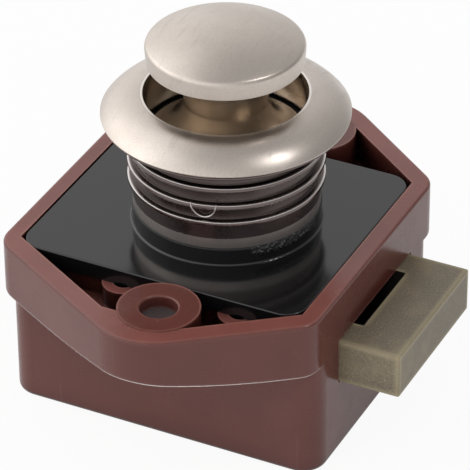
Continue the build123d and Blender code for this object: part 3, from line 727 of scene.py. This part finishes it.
def capOutline(size):
    recessTop = size["lowZ"] + size["recess"]
    dome = arc((0, size["top"]), size["domeMiddle"], size["domeEdge"], steps=40)
    skirt = rounded([
        (*size["domeEdge"], 0),
        (size["radius"], size["shoulderZ"], size["round"]),
        (size["low"], size["lowZ"], size["lowRound"]),
        (size["rim"], size["lowZ"], size["lowRound"]),
        (size["rim"], recessTop, 0),
        (size["spigot"], recessTop, 0),
        (size["spigot"], size["spigotTop"], 0),
        (0, size["spigotTop"], 0),
    ], steps=10)
    return dome + skirt[1:]


cap = lathe("knobCapSurface", capOutline(capSize), "push_knob", [makeNickel("cap")], segments=256)
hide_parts("knob_cap")

# Stem: straight neck that flares out to a foot, with a spigot above it and a blind hole for the screw
stemSize = {
    "spigot": 4.0, "spigotTop": 24.45, "neck": 5.3, "neckTop": 22.75, "neckLow": 16.7, "flare": (6.6, 13.85),
    "foot": 9.8, "footTop": 11.85, "footLow": 10.2, "footRound": 0.15, "hole": 1.5, "holeTop": 17.2,
}


def stemOutline(size):
    neck = [(0, size["spigotTop"]), (size["spigot"], size["spigotTop"])]
    neck += [(size["spigot"], size["neckTop"]), (size["neck"], size["neckTop"])]
    flare = arc((size["neck"], size["neckLow"]), size["flare"], (size["foot"], size["footTop"]), steps=36)
    foot = rounded([
        (size["foot"], size["footTop"], 0),
        (size["foot"], size["footLow"], size["footRound"]),
        (size["hole"], size["footLow"], 0),
    ])
    return neck + flare + foot[1:] + [(size["hole"], size["holeTop"]), (0, size["holeTop"])]


stem = lathe("knobStemSurface", stemOutline(stemSize), "push_knob", [stemNickel])
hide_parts("knob_stem")

print("stage: springs")

# Coil springs, drawn at full length along their axes: keep is the share of the length that is left
boltSpring = {
    "wire": 0.45, "mean": 1.25, "turns": 13, "length": 17.9,
    "axis": (1, 0, 0), "joint": "bolt_draw", "keep": 0.565,
}
springSize = {
    "return_spring": {
        "wire": 0.8, "mean": 3.5, "turns": 9, "length": 21.96, "start": (0, 0, -21.38),
        "axis": (0, 0, 1), "joint": "knob_press", "keep": 0.684,
    },
    "bolt_spring_front": {**boltSpring, "start": (-20.555, -8.6, -10.0)},
    "bolt_spring_back": {**boltSpring, "start": (-20.555, 8.6, -10.0)},
}


# helix from the start along its axis, with end turns that lie closer together
def springPath(size, stepsPerTurn=32, closing=0.35):
    path = []
    steps = size["turns"] * stepsPerTurn
    for k in range(steps + 1):
        share = k / steps
        turn = 2 * math.pi * size["turns"] * share
        along = size["length"] * (share - closing * math.sin(2 * math.pi * share) / (2 * math.pi))
        a, b = size["mean"] * math.cos(turn), size["mean"] * math.sin(turn)
        offset = (a, b, along) if size["axis"] == (0, 0, 1) else (along, a, b)
        path.append((Vector(size["start"]) + Vector(offset)) * mm)
    return path


for piece, size in springSize.items():
    coil = wire(piece + "_coil", springPath(size), size["wire"] / 2, "lock_body", springSteel, sides=12)
    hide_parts(piece)
    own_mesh(coil)

print("stage: floor")

# Floor: plain paper that looks white and still shows the lock's shadow
floorLook = {
    "height": -23.65, "half": 3000.0,
    "colour": (0.86, 0.86, 0.86), "fibreNoise": (40, 3, 0.55), "fibreRange": (0.3, 0.7), "fibreShare": 0.99,
    "rough": 0.9, "specular": 0.1,
    "white": 0.93, "mirrored": 0.5,  # share of plain white for the camera, and in reflections
}


def makePaper(look):
    tree = Finish("floorPaper", specular=look["specular"])
    fibre = tree.span(tree.noise(*look["fibreNoise"]), look["fibreRange"])
    tree.done(tree.mix(fibre, look["colour"], darker(look["colour"], look["fibreShare"])), look["rough"])
    glow = tree.add("ShaderNodeEmission")
    glow.inputs["Strength"].default_value = 1.0
    rays = tree.add("ShaderNodeLightPath").outputs
    seen = tree.calc("MAXIMUM", rays["Is Camera Ray"], rays["Is Glossy Ray"])
    seen = tree.calc("MAXIMUM", seen, rays["Is Transmission Ray"])
    share = tree.span(rays["Is Camera Ray"], (0, 1), look["mirrored"], look["white"])
    blend = tree.add("ShaderNodeMixShader")
    tree.link(tree.times(seen, share), blend.inputs[0])
    tree.link(tree.shader.outputs[0], blend.inputs[1])
    tree.link(glow.outputs[0], blend.inputs[2])
    tree.link(blend.outputs[0], tree.nodeTree.nodes["Material Output"].inputs["Surface"])
    return tree.material


def layFloor(look):
    half, level = metres((look["half"], look["height"]))
    corners = [(-half, -half, level), (half, -half, level), (half, half, level), (-half, half, level)]
    mesh = bpy.data.meshes.new("floorPlane")
    mesh.from_pydata(corners, [], [(0, 1, 2, 3)])
    mesh.materials.append(makePaper(look))
    floor = bpy.data.objects.new("floorPlane", mesh)
    scene.collection.objects.link(floor)


layFloor(floorLook)

print("stage: light")

# Room: soft white, brighter on the camera's left and darker overhead.
# across points to the camera's right, and levels are (height, grey).
roomLook = {
    "left": 1.5, "right": 0.36, "across": (0.895, 0.446, 0), "acrossRange": (-0.9, 0.9),
    "levels": ((0.0, 1.0), (0.3, 1.0), (0.58, 1.0), (0.85, 0.7), (1.0, 0.5)),
}


def lightRoom(look):
    world = bpy.data.worlds.new("studio")
    scene.world = world
    world.use_nodes = True
    tree = Tree(world.node_tree)
    tree.nodeTree.nodes.clear()
    way = tree.add("ShaderNodeTexCoord").outputs["Generated"]
    side = tree.span(tree.dot(way, look["across"]), look["acrossRange"], look["left"], look["right"])
    rise = tree.add("ShaderNodeValToRGB")
    tree.link(tree.parts(way)["Z"], rise.inputs["Fac"])
    stops = rise.color_ramp.elements
    while len(stops) < len(look["levels"]):
        stops.new(0.5)
    for stop, (height, grey) in zip(stops, look["levels"]):
        stop.position = height
        stop.color = (grey, grey, grey, 1)
    shade = tree.add("ShaderNodeBackground")
    tree.link(rise.outputs["Color"], shade.inputs["Color"])
    tree.link(side, shade.inputs["Strength"])
    tree.link(shade.outputs[0], tree.add("ShaderNodeOutputWorld").inputs["Surface"])


lightRoom(roomLook)

# Lamps, in metres and watts: a wide one on the left, and a small one for the ring's highlight
lampLook = {
    "keyLeft": {"place": (-0.66, -0.1, 0.62), "size": 0.9, "power": 1.2},
    "spotRight": {"place": (0.375, 0.025, 0.59), "size": 0.13, "power": 0.5},
}


def hangLamp(name, look):
    lamp = bpy.data.lights.new(name, "AREA")
    lamp.shape = "RECTANGLE"
    lamp.size = look["size"]
    lamp.size_y = look["size"]
    lamp.energy = look["power"]
    obj = bpy.data.objects.new(name, lamp)
    scene.collection.objects.link(obj)
    obj.location = look["place"]
    obj.rotation_mode = "QUATERNION"
    obj.rotation_quaternion = (-Vector(look["place"])).to_track_quat("-Z", "Y")  # aimed at the origin


for name, look in lampLook.items():
    hangLamp(name, look)

print("stage: camera")

# Camera at the photo's angle, in degrees and millimetres, with its shift as a share of the frame
cameraLook = {
    "azimuth": 26.480, "elevation": 33.619, "roll": -0.501,
    "distance": 460.762, "aim": (0.0, 2.3324, -5.0956),
    "lens": 277.01, "sensor": 36, "shift": (-0.00106, 0.00106), "clip": (10, 20000),
}


def setCamera(look):
    azimuth, elevation, roll = (math.radians(look[key]) for key in ("azimuth", "elevation", "roll"))
    level = math.cos(elevation)
    back = Vector((math.sin(azimuth) * level, -math.cos(azimuth) * level, math.sin(elevation)))
    right = Vector((math.cos(azimuth), math.sin(azimuth), 0))
    up = back.cross(right)
    rightTurned = right * math.cos(roll) + up * math.sin(roll)
    upTurned = up * math.cos(roll) - right * math.sin(roll)
    data = bpy.data.cameras.new("photoCamera")
    data.sensor_width = look["sensor"]
    data.lens = look["lens"]
    data.shift_x, data.shift_y = look["shift"]
    data.clip_start, data.clip_end = metres(look["clip"])
    camera = bpy.data.objects.new("photoCamera", data)
    scene.collection.objects.link(camera)
    place = (Vector(look["aim"]) + back * look["distance"]) * mm
    turn = Matrix((rightTurned, upTurned, back)).transposed().to_4x4()
    camera.matrix_world = Matrix.Translation(place) @ turn
    scene.camera = camera


setCamera(cameraLook)
scene.view_settings.view_transform = "Standard"

print("stage: done")
